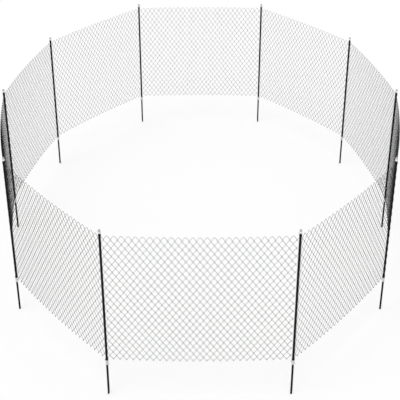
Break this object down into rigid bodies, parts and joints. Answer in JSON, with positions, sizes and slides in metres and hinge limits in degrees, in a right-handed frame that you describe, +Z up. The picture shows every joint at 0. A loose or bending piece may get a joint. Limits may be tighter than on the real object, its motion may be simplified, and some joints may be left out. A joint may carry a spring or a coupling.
{
  "type": "mesh pet enclosure",
  "caption": "Free-standing ring fence for pets: diamond wire mesh panels between slim capped posts with ground spikes.",
  "frame": {"origin": "centre of the flat foot of the front left post's spike, the lowest point of the posts", "axes": "+Z up along the posts; +X along the front panel from the front left post to the front right post; +Y into the pen, towards the back panel"},
  "size_m": [5.1932, 7.1883, 2.103],
  "materials": {
    "coated_tube": "satin black powder coat",
    "coated_spike": "satin black powder coat, a little worn",
    "coated_wire": "dark grey plastic-coated wire",
    "clear_plastic": "pale translucent moulded plastic"
  },
  "bodies": {
    "root": {"post_tube_01": "coated_tube", "post_tube_02": "coated_tube", "post_tube_03": "coated_tube", "post_tube_04": "coated_tube", "post_tube_05": "coated_tube", "post_tube_06": "coated_tube", "post_tube_07": "coated_tube", "post_tube_08": "coated_tube", "post_tube_09": "coated_tube", "post_tube_10": "coated_tube", "ground_spike_01": "coated_spike", "ground_spike_02": "coated_spike", "ground_spike_03": "coated_spike", "ground_spike_04": "coated_spike", "ground_spike_05": "coated_spike", "ground_spike_06": "coated_spike", "ground_spike_07": "coated_spike", "ground_spike_08": "coated_spike", "ground_spike_09": "coated_spike", "ground_spike_10": "coated_spike", "mesh_panel_01": "coated_wire", "mesh_panel_02": "coated_wire", "mesh_panel_03": "coated_wire", "mesh_panel_04": "coated_wire", "mesh_panel_05": "coated_wire", "mesh_panel_06": "coated_wire", "mesh_panel_07": "coated_wire", "mesh_panel_08": "coated_wire", "mesh_panel_09": "coated_wire", "mesh_panel_10": "coated_wire", "top_caps": "clear_plastic", "ground_collars": "clear_plastic"}
  },
  "joints": []
}
